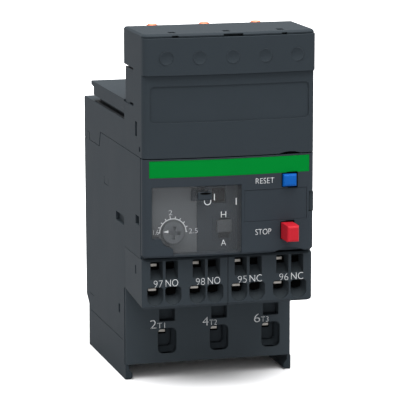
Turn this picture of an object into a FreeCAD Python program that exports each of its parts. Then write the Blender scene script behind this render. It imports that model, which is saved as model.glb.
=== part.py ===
import FreeCAD, Part
import math
import os
from FreeCAD import Vector

os.makedirs("parts", exist_ok=True)

# A plug-in thermal overload relay with spring terminals, in millimetres.
# X runs across the width, Y from the front plane of the body to its back, Z up from the feet.
# Every piece is moved at the end, so that the origin is the middle of the underside.
# The height is the sum of the storeys below, and the depth is the sum of the bays.

# Shell
width = 45.0
wall = 1.4
seam = 0.15
hook_play = 0.6
front_bow = 1.3
front_corner = 1.8
edge_break = 0.5
skin_left = 0.4
half = width / 2
inner = half - wall

# Storeys, from the feet up
foot_high = 3.95
power_high = 20.45
front_drop = 1.9
control_high = 12.9
panel_gap = 0.7
window_sill = 0.6
window_high = 17.3
brow_high = 7.2
upper_gap = 0.25
upper_high = 31.25
floor_z = foot_high
power_top = floor_z + power_high
control_z = (power_top - front_drop, power_top - front_drop + control_high)
panel_low = control_z[1] + panel_gap
window_z = (panel_low + window_sill, panel_low + window_sill + window_high)
panel_z = (panel_low, window_z[1] + brow_high)
seam_z = panel_z[1] + upper_gap
height = seam_z + upper_high

# Upper block: cover strip, blank label field, shelf for the contactor and deck behind
cover_drop = 1.0
cover_high = 9.3
cover_proud = 0.9
cover_seat = wall - skin_left
label_drop = 13.1
label_high = 9.2
label_margin = (1.85, 1.7)
shelf_drop = 18.7
neck_high = 3.6
deck_drop = 1.7
cover_z = (height - cover_drop - cover_high, height - cover_drop)
label_z = (height - label_drop - label_high, height - label_drop)
shelf_z = height - shelf_drop
neck_z = shelf_z - neck_high
deck_z = neck_z - deck_drop
notch_high = 9.8
notch_shadow = 0.6

# Bays, from the front plane back
front_deep = 19.6
contact_bay = 16.9
cross_wall = 1.2
heater_bay = 27.7
power_behind = 6.5
tray_wall = 1.3
rear_wall = 1.6
body_depth = front_deep + contact_bay + cross_wall + heater_bay
cross_y = (front_deep + contact_bay, front_deep + contact_bay + cross_wall)
bay_back = cross_y[1] + power_behind
block_depth = front_deep - seam
shelf_back = body_depth - 8.5
rear_foot = body_depth - 3.9
panel_back = 2.3
base_front = panel_back + 0.1
panel_groove = 0.5
insert_front = block_depth - 9.75
insert_play = 0.45

# Joint between the two housings, stepped down near the back
step_y = bay_back + 2.5
step_z = seam_z - 3.95
hook_y = (body_depth - 6.1, body_depth - 3.5, body_depth - 2.3)
hook_high = 2.0

# Poles and the pins that plug into the contactor
pole_margin = (11.25, 5.55)
pole_pitch = (width - sum(pole_margin)) / 2
poles = [pole_margin[0] - half + pole_pitch * step for step in (0, 1, 2)]
pin_radius = 1.55
pin_drop = 1.4
collar_step = 0.35
collar_radius = pin_radius + collar_step
pin_y = cross_y[0] - 2.1
pin_top = height - pin_drop
clip_offset = 3.05
clip_wide = 1.4

# Bimetals, heaters and slides
slide_thick = 1.8
slide_gap = 0.4
slide_wide = 7.4
low_slide_z = (power_top + 2.0, power_top + 2.0 + slide_thick)
main_slide_z = (low_slide_z[1] + slide_gap, low_slide_z[1] + slide_gap + slide_thick)
slide_left = poles[0] - 4.95
slide_right = poles[2] + 3.45
slide_travel = 1.2
bimetal_y = cross_y[1] + 12.3
bimetal_thick = 0.8
bimetal_wide = 5.0
slide_y = (bimetal_y - slide_wide / 2, bimetal_y + slide_wide / 2)
strap_z = seam_z - 2.45
strap_thick = 0.8
bimetal_z = (low_slide_z[0] - 0.6, strap_z - 2.5)
sleeve_z = (main_slide_z[1] + 3.1, strap_z - 6.5)
sleeve_size = (2.4, 7.0)
ribbon_thick = 0.45
ribbon_wide = 1.5
ribbon_turns = 6

# Power terminals
power_side = 1.1
power_fit = 0.1
flange_side = 0.2
flange_thick = 0.9
power_wall = 4.4
power_hole = (5.1, 6.8)
power_hole_z = floor_z + 5.9
power_corner = 1.4
power_slot = (4.3, 3.3)
power_slot_z = floor_z + 12.7
power_bar_z = power_hole_z + power_hole[1] / 2 - 0.15
power_bar_thick = 1.0
power_bar_wide = 4.0
chamber_wide = 7.4
chamber_wall = 1.35
power_band = 0.6
power_clamp_y = front_deep + power_wall + 0.9

# Control terminals: four modules side by side, with two holes below and two above in each
block_gap = 0.1
control_y = (1.75, front_deep - block_gap)
control_wall = 4.45
split_x = 0.15
module_margin = 0.36
partition = 1.67
module_pitch = (width - 2 * module_margin) / 4
modules = [module_pitch * step for step in (-1.5, -0.5, 0.5, 1.5)]
cell_wide = module_pitch - partition
wire_web = 0.42
driver_web = 0.65
driver_inset = 0.75
wire_gap = cell_wide / 2
driver_gap = cell_wide / 2 - driver_inset
wire_wide = wire_gap - wire_web
driver_wide = driver_gap - driver_web
hole_sill = 0.825
hole_head = 0.525
marking_web = 1.85
hole_high = (control_high - hole_sill - hole_head - marking_web) / 2
wire_z = (control_z[0] + hole_sill, control_z[0] + hole_sill + hole_high)
driver_z = (control_z[1] - hole_head - hole_high, control_z[1] - hole_head)
tongue_z = wire_z[1] + 0.575
tongue_thick = 0.8
clamp_band = 0.45
clamp_space = 0.9
clamp_wide = wire_gap - clamp_space
clamp_window = clamp_wide - 0.9
clamp_y = control_y[0] + control_wall + 1.35

# Window, its cover and the well behind it
window_wide = 22.85
window_corner = 0.8
window_fit = 0.15
well_y = (2.6, 3.8)
well_wall = 0.7
well_side = 0.1
window_left = window_fit + well_wall + well_side - inner
window_x = (window_left, window_left + window_wide)
cover_thick = 0.9
hinge_x = window_x[0] + 0.4
hinge_radius = 0.4
running = 0.06

# Setting dial, its cam and the shaft that carries the setting back
dial_x = window_x[0] + 5.9
dial_z = window_z[0] + 5.4
dial_radius = 3.0
dial_clear = dial_radius + 0.75
dial_y = (1.2, 2.5)
dial_turned = 8
notch_z = dial_z - 1.07
shaft_radius = 1.6
spigot = 1.5
cam_radius = 2.4
cam_throw = 0.25
cam_y = (front_deep - 4.4, front_deep - 2.4)
adjust_x = 2.6 - inner
adjust_z = dial_z + 7.9
adjust_radius = 1.2
pivot_z = adjust_z - 6.0
pivot_radius = 0.6

# Controls behind the window
flag_x = (window_x[0] + 16.25, window_x[0] + 19.95)
flag_z = (window_z[1] - 5.05, window_z[1] - 1.15)
flag_travel = 3.9
flag_y = (5.0, 5.6)
selector_x = window_x[0] + 18.4
selector_z = (window_z[0] + 5.25, window_z[0] + 8.7)
selector_travel = 1.4
selector_wide = 3.4
test_x = (window_x[0] + 11.65, window_x[0] + 15.3)
test_z = (window_z[1] - 3.4, window_z[1] - 1.7)
test_travel = 1.4
slider_y = (4.0, 4.7)

# Buttons and the blank marker field between them
stop_reach = 6.5
reset_proud = 1.1
reset_at = (half - 6.95, panel_z[1] - 6.55)
reset_size = (3.55, 3.15)
stop_at = (half - 7.5, panel_z[0] + 5.6)
stop_size = (3.1, 4.1)
cap_round = 0.65
cap_gap = 0.5
button_stem = 2.0
stem_gap = 0.5
guide_y = (front_deep - 10.6, front_deep - 9.4)
marker_x = (window_x[1] + 0.9, half - 2.1)
marker_z = (stop_at[1] + stop_size[1] / 2 + 0.65, reset_at[1] - reset_size[1] / 2 - 0.55)
marker_deep = 0.6
stripe_x = (1.55 - half, half - 1.45)
stripe_z = (panel_z[1] - 4.7, panel_z[1] - 0.35)
stripe_deep = 0.42
inlay_gap = 0.05
tab_z = (sum(marker_z) / 2 - 2.3, sum(marker_z) / 2 + 2.7)
tab_thick = 1.1
thumb_x = half - 6.75

# Contacts
contact_z = stop_at[1] + 0.2
contact_travel = 1.6
contact_radius = 1.1
contact_proud = 0.4
riser_y = (front_deep + 6.4, front_deep + 7.2)
riser_wide = 3.0
bridge_thick = 0.7
bridge_high = 2.8
no_front = riser_y[0] - 2 * contact_proud - contact_travel - bridge_thick - 0.05
nc_front = riser_y[1] + 2 * contact_proud + 0.05
arm_wide = 3.0
carrier_reach = stop_at[0] - button_stem / 2 - stem_gap
riser_apart = 5.5
arm_x = carrier_reach - arm_wide / 2
risers = (5.0 - half, riser_apart - arm_x, arm_x - riser_apart, half - 4.2)
carrier_z = (contact_z + 4.0, contact_z + 6.7)
carrier_y = (riser_y[0] - 1.9, riser_y[0] + 2.6)

# Trip lever and the frame that holds it
lever_y = carrier_y[0] - 1.2
lever_z = reset_at[1] + 1.35
lever_radius = 1.0
lever_half = 4.0
cheek_x = (7.2, 8.4)
reset_arm_z = (lever_z + 2.2, lever_z + 4.3)


def box(x, y, z):
    return Part.makeBox(x[1] - x[0], y[1] - y[0], z[1] - z[0], Vector(x[0], y[0], z[0]))


def span(middle, size):
    return (middle - size / 2, middle + size / 2)


def grown(limits, by):
    return (limits[0] - by, limits[1] + by)


def soft_box(x, y, z, radius):
    # A block whose four edges along Y are rounded.
    block = box(x, y, z)
    limit = 0.45 * min(x[1] - x[0], z[1] - z[0])
    edges = [edge for edge in block.Edges if edge.BoundBox.YLength > 0.9 * (y[1] - y[0])]
    return block.makeFillet(min(radius, limit), edges)


def rod(radius, start, end):
    direction = Vector(*end) - Vector(*start)
    return Part.makeCylinder(radius, direction.Length, Vector(*start), direction)


def side_profile(points, x):
    wire = Part.makePolygon([Vector(x[0], y, z) for y, z in points + points[:1]])
    return Part.Face(wire).extrude(Vector(x[1] - x[0], 0, 0))


def front_profile(points, y):
    wire = Part.makePolygon([Vector(x, y[0], z) for x, z in points + points[:1]])
    return Part.Face(wire).extrude(Vector(0, y[1] - y[0], 0))


def fuse(shapes):
    return shapes[0].multiFuse(shapes[1:]).removeSplitter()


def mirrored(shape):
    return shape.mirror(Vector(0, 0, 0), Vector(1, 0, 0))


def on_both_sides(shapes):
    return shapes + [mirrored(shape) for shape in shapes]


def strip(path, thick):
    # Outline of a strip of sheet metal bent along a path, with mitred corners.
    left = []
    right = []
    for index, (a, b) in enumerate(path):
        before = path[max(index - 1, 0)]
        after = path[min(index + 1, len(path) - 1)]
        turns = []
        for start, end in ((before, (a, b)), ((a, b), after)):
            length = math.hypot(end[0] - start[0], end[1] - start[1])
            if length > 0:
                turns.append(Vector(start[1] - end[1], end[0] - start[0], 0) / length)
        normal = sum(turns[1:], turns[0])
        normal.normalize()
        reach = thick / 2 / normal.dot(turns[0])
        left.append((a + normal.x * reach, b + normal.y * reach))
        right.append((a - normal.x * reach, b - normal.y * reach))
    return left + right[::-1]


def front_at(x):
    # The front face is an arc in plan: depth of the face at a distance from the middle.
    radius = (half ** 2 + front_bow ** 2) / (2 * front_bow)
    return radius - front_bow - math.sqrt(radius ** 2 - x ** 2)


def bowed(reach, inset, back, z, corner=0.0):
    # A slab whose front follows the bowed face, set back by an inset.
    edge = front_at(reach) + inset
    corners = [Vector(-reach, edge, z[0]), Vector(reach, edge, z[0])]
    arc = Part.Arc(corners[0], Vector(0, inset - front_bow, z[0]), corners[1]).toShape()
    back_corners = [Vector(reach, back, z[0]), Vector(-reach, back, z[0])]
    sides = Part.makePolygon([corners[1]] + back_corners + [corners[0]])
    slab = Part.Face(Part.Wire([arc] + sides.Edges)).extrude(Vector(0, 0, z[1] - z[0]))
    if not corner:
        return slab
    upright = [edge for edge in slab.Edges if is_front_upright(edge, back)]
    return slab.makeFillet(min(corner, 0.8 * (back - edge)), upright)


def is_front_upright(edge, back):
    first, last = edge.Vertexes[0].Point, edge.Vertexes[-1].Point
    return abs(first.z - last.z) > 0.1 and first.y < back - 0.1 and (first - last).y < 0.01


def skin(x, z, outer, back):
    # The part of an upright field that lies between two insets of the bowed face.
    tall = grown(z, 1)
    return box(x, (-5, 6), z).common(bowed(half, outer, 30, tall)).cut(bowed(half, back, 31, tall))


def recess(field, depth):
    # What must go to sink a field of the bowed face to an even depth.
    return field.cut(bowed(half, depth, 40, (field.BoundBox.ZMin - 1, field.BoundBox.ZMax + 1)))


def thumb_arch(z, chord, rise):
    radius = chord ** 2 / (8 * rise) + rise / 2
    return rod(radius, (thumb_x, -5, z + rise - radius), (thumb_x, wall + 0.3, z + rise - radius))


def clip_places():
    return [pole - clip_offset for pole in poles]


def seam_line(gap, play):
    # Side view of the joint between the two housings: a step down and a hook near the back.
    low = step_z - gap
    return [(step_y - play, seam_z - gap), (step_y + 1.5 - play, low), (hook_y[0] + play, low),
            (hook_y[0] + play, low + hook_high), (hook_y[1] - gap, low + hook_high),
            (hook_y[2] - gap, low - 0.2), (body_depth, low - 0.2)]


def top_housing():
    block = bowed(half, 0, block_depth, (seam_z, height), front_corner)
    crown = [edge for edge in block.Edges if edge.BoundBox.ZMin > height - 0.01 and edge.BoundBox.YMin < 3]
    block = block.makeChamfer(edge_break, crown)
    deck = side_profile([(block_depth - wall, seam_z)] + seam_line(0, 0)
                        + [(body_depth, deck_z - edge_break), (body_depth - edge_break, deck_z),
                           (block_depth - wall, deck_z)], (-half, half))
    neck = box(span(0, width - 3), (block_depth - wall, shelf_back - 4.3), (deck_z - wall, neck_z))
    hollow = bowed(inner, wall, block_depth - wall, (seam_z - 9, height - wall))
    tunnel = box((-inner, inner), (block_depth - 2 * wall, body_depth - wall), (step_z - 7, deck_z - wall))
    body = fuse([block, deck, neck]).cut(fuse([hollow, tunnel]))
    return body.cut(fuse(top_cuts())).removeSplitter()


def top_cuts():
    # The side notches, the seat of the strip, the label field, the pin holes and the clip slots.
    across = (-half - 1, half + 1)
    cuts = [box(across, (insert_front - seam, block_depth + 1), (shelf_z - 0.6, shelf_z - 0.6 + notch_high))]
    cuts.append(recess(box(across, (-5, 6), (cover_z[0] - seam, cover_z[1] + 0.1)), cover_seat))
    field = soft_box((label_margin[0] - half, half - label_margin[1]), (-5, 5), label_z, 1.2)
    cuts.append(recess(field, 0.3))
    cuts.append(thumb_arch(seam_z, 5.8, 0.5))
    for x in clip_places():
        wide = span(x, clip_wide + 0.4)
        cuts.append(box(wide, (wall, 4.0), (height - wall - 1, height + 1)))
        cuts.append(box(wide, (front_at(x) + cover_seat - 0.5, 4.0), (cover_z[1] - 1.8, cover_z[1] - 0.3)))
    for x, long, high in ((8.25 - half, 1.6, 0.55), (0.65, 5.1, 0.7), (half - 8.4, 1.4, 0.55)):
        cuts.append(box(span(x, long), (-3, 0.6), span(cover_z[1] + high / 2, high)))
    for pole in poles:
        cuts.append(rod(collar_radius + 0.3, (pole, pin_y, step_z), (pole, pin_y, neck_z + 1)))
    long_slot = box((-half - 1, -half + 0.8), span(7.0, 1.9), (deck_z - 2.5, deck_z + 1.3))
    latch = box((-half - 1, -half + 0.4), span(3.4, 1.3), span(seam_z + 1.95, 1.3))
    return cuts + on_both_sides([long_slot, latch])


def rear_insert():
    # Closes the back of the upper block: a rear wall with a wing down each side.
    reach = half - 0.3
    z = (shelf_z - 0.6, shelf_z - 0.6 + notch_high - notch_shadow)
    shell = box((-reach, reach), (insert_front + insert_play, block_depth - 0.5), z)
    inside = box((1.1 - reach, reach - 1.1), (insert_front - 1, block_depth - 0.5 - wall), grown(z, 3))
    foot = box((-reach - 1, 1.2 - reach), (insert_front - 1, insert_front + 4.75), (z[0] - 1, shelf_z))
    return shell.cut(fuse([inside] + on_both_sides([foot])))


def cover_strip():
    face = bowed(half, -cover_proud, 20, cover_z, front_corner)
    band = face.cut(bowed(half + 0.5, cover_seat - 0.08, 30, grown(cover_z, 5)))
    dimples = []
    for step in (-2, -1, 0, 1, 2):
        x = 0.3 + (half - 5.5) / 2 * step
        front = front_at(x) - cover_proud
        middle = sum(cover_z) / 2 - 0.3
        dimples.append(rod(1.75, (x, front - 0.5, middle), (x, front + 0.6, middle)))
    hooks = []
    top = cover_z[1]
    for x in clip_places():
        root = front_at(x) + cover_seat - 0.4
        arm = [(root, top - 1.6), (3.8, top - 1.6), (3.8, top + 0.2), (2.9, top + 0.4), (2.9, top - 0.6),
               (root, top - 0.6)]
        hooks.append(side_profile(arm, span(x, clip_wide)))
    return fuse([band.cut(fuse(dimples))] + hooks)


def shelf_plate():
    # The shelf that the contactor stands on: a lipped plate with two ribs under it.
    front = block_depth + 0.1
    outline = [(front, shelf_z), (shelf_back - 0.4, shelf_z), (shelf_back, shelf_z - 0.4),
               (shelf_back, shelf_z - 1.1), (shelf_back - 2.9, shelf_z - 1.4), (shelf_back - 2.8, neck_z),
               (front, neck_z)]
    plate = side_profile(outline, (-half, half))
    under = (front + 2.5, shelf_back - 5.4)
    plate = plate.cut(box(span(0, width - 5.2), under, (neck_z - 1, shelf_z - 1.6)))
    ribs = [box(span(pole + pole_pitch / 2, 1.2), under, (neck_z, shelf_z - 1.5)) for pole in poles[:2]]
    low, top = neck_z - 1, shelf_z + 1
    holes = [rod(collar_radius + 0.15, (pole, pin_y, low), (pole, pin_y, top)) for pole in poles]
    return fuse([plate] + ribs).cut(fuse(holes)).removeSplitter()


def skirt_hollow():
    # Between the two side skirts, whose lower edges turn inwards as lips.
    reach = half - 1.0
    lip = half - 1.88
    outline = [(-reach, floor_z), (-reach, floor_z - 1.25), (-lip, floor_z - 2.4), (-lip, 0.5),
               (-lip - 0.5, -0.01)]
    outline += [(-x, z) for x, z in outline[::-1]]
    return front_profile(outline, (front_deep - 5, rear_foot + 5))


def base_outline(inset):
    # Side view of the lower housing, or of its hollow at the back when inset by a wall.
    taper = [(body_depth - 0.9, floor_z + 9.75), (rear_foot, floor_z + 7.55)]
    if inset:
        top = [(front_deep + tray_wall, seam_z + 5), (body_depth - rear_wall, seam_z + 5)]
        taper = [(y - wall, z + 0.9) for y, z in taper]
        return top + taper + [(rear_foot - wall, floor_z + wall), (front_deep + tray_wall, floor_z + wall)]
    sill = control_z[1] + block_gap
    front = [(rear_foot, 0), (front_deep + 0.3, 0), (front_deep, 0.3), (front_deep, sill), (base_front, sill)]
    return [(base_front, seam_z - seam)] + seam_line(seam, hook_play) + taper + front


def base_ribs():
    top = step_z - 0.1
    ribs = [box((1 - half, half - 1), cross_y, (power_top, top))]
    heel = [(y - wall + 0.4, z + 0.4) for y, z in base_outline(0)[8:10]]
    outline = [(cross_y[0], top), (body_depth - wall, top)] + heel
    outline += [(heel[1][0], floor_z), (cross_y[0], floor_z)]
    for pole in poles[:2]:
        middle = pole + pole_pitch / 2
        gap = box(span(middle, 3), grown(slide_y, 0.4), (low_slide_z[0] - 0.1, main_slide_z[1] + 0.4))
        ribs.append(side_profile(outline, span(middle, 1.2)).cut(gap))
    ribs.append(box((stop_at[0] - 3.4, half - 1), guide_y, (panel_low + 0.4, seam_z - 1.95)))
    ribs.append(box((half - 3.4, half - 1), grown(slide_y, 1.3), (power_top + 0.2, low_slide_z[0] - 0.1)))
    return ribs


def base_housing():
    shell = side_profile(base_outline(0), (-half, half))
    main = side_profile(base_outline(1), (-inner, inner))
    sill = panel_low + 1.1
    forehead = box((-inner, inner), (0, front_deep + tray_wall + 0.7), (sill, seam_z + 5))
    lip = box((-inner, inner), (0, panel_back + 1.7), (panel_low - 5, sill + 1))
    reach = half - power_side
    storey = (floor_z - power_fit, power_top + power_fit)
    bay = box((-reach, reach), (front_deep - 9, bay_back + power_fit), storey)
    rebate = box((-half - 1, half + 1), (front_deep - 9, front_deep + flange_thick + power_fit), storey)
    shell = shell.cut(fuse([main, forehead, lip]))
    shell = fuse([shell] + base_ribs()).cut(fuse([bay, rebate, skirt_hollow()]))
    tab = box((half - 0.05 - tab_thick, half - 0.05), (0.7, base_front + 0.5), tab_z)
    ends = grown(cross_y, 1)
    cuts = [rod(adjust_radius + running, (adjust_x, ends[0], adjust_z), (adjust_x, ends[1], adjust_z))]
    tray = (front_deep - 1, front_deep + tray_wall + 0.7)
    for x in modules:
        cuts.append(box(span(x, cell_wide), tray, span(tongue_z, 1.9)))
    for x, z in (reset_at, stop_at):
        cuts.append(box(span(x, button_stem + 0.5), grown(guide_y, 1), span(z, button_stem + 0.5)))
    return fuse([shell.cut(fuse(cuts + side_marks())), tab])


def side_marks():
    # Mould windows, a latch outline, shallow steps and the groove behind the panel, in the side walls.
    deep = (-half - 1, -half + 0.9)
    shallow = (-half - 1, -half + 0.12)
    latch = (front_deep + 18.2, front_deep + 22.6)
    marks = [box(deep, (front_deep + 0.7, front_deep + 9.5), (contact_z - 1.0, contact_z + 1.35)),
             box(deep, (4.25, 7.95), (panel_low + 7.7, panel_low + 10.0)),
             box(deep, span(front_deep + 6.45, 1.6), (power_top - 7.8, power_top - 5.4)),
             box(shallow, (front_deep + 2.3, rear_foot - 2.8), span(floor_z + 6.25, 0.25)),
             box(shallow, (rear_foot - 6.3, rear_foot - 1.5), span(floor_z + 10.9, 0.25)),
             box(shallow, latch, span(adjust_z - 1.6, 0.25))]
    marks.append(box((-half - 1, panel_groove - half), (0, base_front + panel_groove), (control_z[1], seam_z)))
    for y in latch:
        marks.append(box(shallow, span(y, 0.25), (adjust_z - 1.7, adjust_z + 0.2)))
    return on_both_sides(marks)


def window_outline(grow, y, corner=window_corner):
    # A rounded window with a lobe round the dial and no corner below it.
    outline = soft_box(grown(window_x, grow), y, grown(window_z, grow), corner)
    below = box((-half - 1, dial_x - 0.5 - grow), y, (panel_low - 5, notch_z - grow))
    lobe = rod(dial_clear + grow, (dial_x, y[0], dial_z), (dial_x, y[1], dial_z))
    return fuse([outline.cut(below), lobe])


def flag_rail(z, side):
    # An L-shaped rail behind the panel, in which the trip flag slides.
    reach = (flag_x[0] - flag_travel - 1.0, flag_x[1] + flag_travel + 1.1)
    web = box(reach, (well_y[0] + 0.5, flag_y[1] + 0.7), (z - 0.3, z + 0.3))
    edge = box(reach, (flag_y[1] + 0.15, flag_y[1] + 0.7), span(z - 0.3 * side, 1.2))
    return [web, edge]


def hinge_axis():
    return front_at(hinge_x) + 0.5


def front_panel():
    plate = bowed(half, 0, panel_back, panel_z, front_corner)
    low = [edge for edge in plate.Edges if edge.BoundBox.ZMax < panel_z[0] + 0.01 and edge.BoundBox.YMin < 2]
    plate = plate.makeChamfer(edge_break, low)
    hollow = bowed(inner, wall, 10, (panel_z[0] + 1.2, panel_z[1] - 1.2))
    well = window_outline(well_wall + window_fit, (-5, well_y[1])).common(bowed(half, wall / 2, 40, panel_z))
    rails = flag_rail(flag_z[0] - 0.95, 1) + flag_rail(flag_z[1] + 0.95, -1)
    body = fuse([plate.cut(hollow), well] + rails)
    return body.cut(fuse(panel_cuts())).removeSplitter()


def panel_cuts():
    # The window, the slots and bores in its floor, the buttons, the inlays, the tab and the thumb arch.
    through = (0, well_y[1] + 1)
    slot = (selector_z[0] - selector_travel + 0.15, selector_z[1] - 0.1)
    pin = (hinge_x, hinge_axis())
    cuts = [window_outline(window_fit, (-5, well_y[0]), 0.3)]
    cuts.append(rod(shaft_radius + running, (dial_x, 0, dial_z), (dial_x, 9, dial_z)))
    cuts.append(box(flag_x, through, flag_z))
    cuts.append(box(test_x, through, test_z))
    cuts.append(box(span(selector_x, selector_wide - 0.4), through, slot))
    cuts.append(button_hole(reset_at, reset_size))
    cuts.append(button_hole(stop_at, stop_size))
    cuts.append(recess(box(stripe_x, (-5, 5), stripe_z), stripe_deep))
    cuts.append(recess(box(marker_x, (-5, 5), marker_z), marker_deep))
    cuts.append(box((half - tab_thick - 0.4, half + 5), (-5, 5), grown(tab_z, seam)))
    cuts.append(thumb_arch(panel_z[0], 8.3, 1.1))
    cuts.append(rod(hinge_radius + 0.05, pin + (notch_z - 0.95,), pin + (window_z[1] + 0.95,)))
    return cuts


def button_hole(at, size):
    return soft_box(span(at[0], size[0] + cap_gap), (-5, 4), span(at[1], size[1] + cap_gap), 0.2)


def name_stripe():
    return skin(grown(stripe_x, -inlay_gap), grown(stripe_z, -inlay_gap), 0.02, stripe_deep - inlay_gap)


def marker_plate():
    return skin(grown(marker_x, -inlay_gap), grown(marker_z, -inlay_gap), 0.08, marker_deep - inlay_gap)


def scale_plate():
    # The light plate on the floor of the well, with the current scale round the dial.
    plate = window_outline(0.0, (well_y[0] - 0.5, well_y[0]))
    plate = plate.common(box((-half, window_x[0] + 12.15), (-5, 10), grown(window_z, 5)))
    slot = box((test_x[0] - 0.3, test_x[1]), (0, 10), grown(test_z, 0.4))
    dial = rod(dial_radius + 0.3, (dial_x, 0, dial_z), (dial_x, 9, dial_z))
    return plate.cut(fuse([dial, slot]))


def window_cover():
    # A clear flap on a pin at its left edge, with a finger notch at the right.
    axis = (hinge_x, hinge_axis())
    plate = window_outline(0.0, (-5, 4)).common(box((hinge_x, half), (-5, 5), grown(window_z, 5)))
    tall = grown(window_z, 6)
    plate = plate.common(bowed(half, 0.05, 30, tall)).cut(bowed(half, 0.05 + cover_thick, 31, tall))
    pin = rod(hinge_radius, axis + (notch_z - 0.7,), axis + (window_z[1] + 0.7,))
    grip_z = window_z[0] + 8.6
    grip = rod(1.6, (window_x[1], -5, grip_z), (window_x[1], 0.2 - front_bow, grip_z))
    return fuse([plate.cut(grip), pin])


def setting_dial():
    face = rod(dial_radius, (dial_x, dial_y[0], dial_z), (dial_x, dial_y[1], dial_z))
    rim = [edge for edge in face.Edges if edge.BoundBox.YMax < dial_y[0] + 0.01]
    face = face.makeChamfer(0.25, rim)
    shaft = rod(shaft_radius, (dial_x, dial_y[1] - 0.1, dial_z), (dial_x, cam_y[0], dial_z))
    key = box(span(dial_x, spigot), (cam_y[0] - 0.5, cam_y[1]), span(dial_z, spigot))
    slot = (dial_radius * 1.13, 0.9)
    deep = (dial_y[0] - 0.2, dial_y[0] + 0.7)
    cross = fuse([box(span(dial_x, slot[0]), deep, span(dial_z, slot[1])),
                  box(span(dial_x, slot[1]), deep, span(dial_z, slot[0]))])
    cross.rotate(Vector(dial_x, 0, dial_z), Vector(0, 1, 0), dial_turned)
    return fuse([face, shaft, key]).cut(cross)


def dial_cam():
    # An eccentric disc on the dial's square spigot: its thick side starts away from the follower.
    x = dial_x + cam_throw
    disc = rod(cam_radius, (x, cam_y[0], dial_z), (x, cam_y[1], dial_z))
    return disc.cut(box(span(dial_x, spigot), grown(cam_y, 1), span(dial_z, spigot)))


def adjust_shaft():
    # Carries the cam's setting from the front to the pivot of the compensation lever.
    ends = (cam_y[0] - 2.2, slide_y[1] + 2.3)
    shaft = rod(adjust_radius, (adjust_x, ends[0], adjust_z), (adjust_x, ends[1], adjust_z))
    follower_x = dial_x + cam_throw - cam_radius - 0.3
    tail = front_profile([(adjust_x - adjust_radius, adjust_z), (adjust_x - 0.4, dial_z - 1.5),
                          (follower_x, dial_z - 1.5), (follower_x, dial_z + 3.0),
                          (adjust_x + adjust_radius, adjust_z)], cam_y)
    arm = box(span(adjust_x, 3.0), (slide_y[0] - 2.0, slide_y[0] - 0.8), (pivot_z - 1.5, adjust_z + 1.0))
    pin = rod(pivot_radius, (adjust_x, slide_y[0] - 1.3, pivot_z), (adjust_x, slide_y[1] + 0.9, pivot_z))
    return fuse([shaft, tail, arm, pin])


def compensation_lever():
    # A bimetal leaf on a knuckle: the slide pushes its foot, its head releases the trip lever.
    y = (slide_y[0] - 0.1, slide_y[1] + 0.1)
    knuckle = rod(2 * pivot_radius, (adjust_x, y[0], pivot_z), (adjust_x, y[1], pivot_z))
    leaf = box((adjust_x + 0.4, adjust_x + 1.2), y, (main_slide_z[0], pivot_z))
    leaf = leaf.cut(box((adjust_x - 1, half), span(bimetal_y, 3.2), (main_slide_z[1] + 2.1, pivot_z - 5.5)))
    horn = box((adjust_x - 1.15, adjust_x - 0.35), span(bimetal_y, 4.0), (pivot_z, pivot_z + 3.2))
    bore = rod(pivot_radius + running, (adjust_x, y[0] - 1, pivot_z), (adjust_x, y[1] + 1, pivot_z))
    return fuse([knuckle, leaf, horn]).cut(bore)


def slide_bar(z, near_left):
    # A flat bar across all three poles, with a slot for each bimetal tip.
    bar = box((slide_left, slide_right), slide_y, z)
    tall = grown(z, 1)
    cuts = []
    for pole in poles:
        left = pole - bimetal_thick / 2 - (0.3 if near_left else slide_travel + 0.5)
        slot = (left, left + bimetal_thick + slide_travel + 0.8)
        cuts.append(box(slot, span(bimetal_y, bimetal_wide + 0.6), tall))
    for pole in poles[:2]:
        cuts.append(box(span(pole + 4, 3.4), (slide_y[0] - 1, slide_y[0] + 2.4), tall))
    return bar.cut(fuse(cuts))


def main_slide():
    return slide_bar(main_slide_z, True)


def differential_slide():
    return slide_bar(low_slide_z, False)


def differential_lever():
    # Lies against the ends of both slides and passes their movement to the compensation lever.
    body = box((slide_left - 0.75, slide_left), grown(slide_y, -0.7), (low_slide_z[0], main_slide_z[1]))
    middle = (low_slide_z[1] + main_slide_z[0]) / 2
    waist = box((slide_left - 2, slide_left + 1), (slide_y[0] - 1, slide_y[0] + 2), span(middle, 1.2))
    return body.cut(fuse([waist, waist.mirror(Vector(0, bimetal_y, 0), Vector(0, 1, 0))]))


def bimetal(pole):
    # A strip that narrows to a tip where it reaches through both slides.
    near, far = span(bimetal_y, bimetal_wide)
    waist = (main_slide_z[1] + 1.4, main_slide_z[1] + 2.2)
    low, top = bimetal_z
    outline = [(near, top), (far, top), (far, waist[1]), (far - 0.7, waist[0]), (far - 0.7, low),
               (near + 0.7, low), (near + 0.7, waist[0]), (near, waist[1])]
    return side_profile(outline, span(pole, bimetal_thick))


def heater_sleeve(pole):
    outer = box(span(pole, sleeve_size[0]), span(bimetal_y, sleeve_size[1]), sleeve_z)
    return outer.cut(box(span(pole, bimetal_thick), span(bimetal_y, bimetal_wide), grown(sleeve_z, 1)))


def heater(pole):
    # Resistance ribbon wound round the sleeve: level turns joined by a slant on the front side.
    first = sleeve_z[0] + 1.1
    pitch = (sleeve_z[1] - 1.9 - ribbon_wide - first) / (ribbon_turns - 1)
    across = span(pole, sleeve_size[0])
    along = span(bimetal_y, sleeve_size[1])
    turns = []
    for turn in range(ribbon_turns):
        z = (first + pitch * turn, first + pitch * turn + ribbon_wide)
        ring = box(grown(across, ribbon_thick), grown(along, ribbon_thick), z)
        turns.append(ring.cut(box(across, along, grown(z, 1))))
        if turn:
            left, right = span(pole, 2.2)
            slant = [(left, z[0] + 0.1), (left, z[1] - 0.1), (right, z[1] - 0.1 - pitch),
                     (right, z[0] + 0.1 - pitch)]
            turns.append(front_profile(slant, (along[0] - ribbon_thick, along[0])))
    return fuse(turns)


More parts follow.
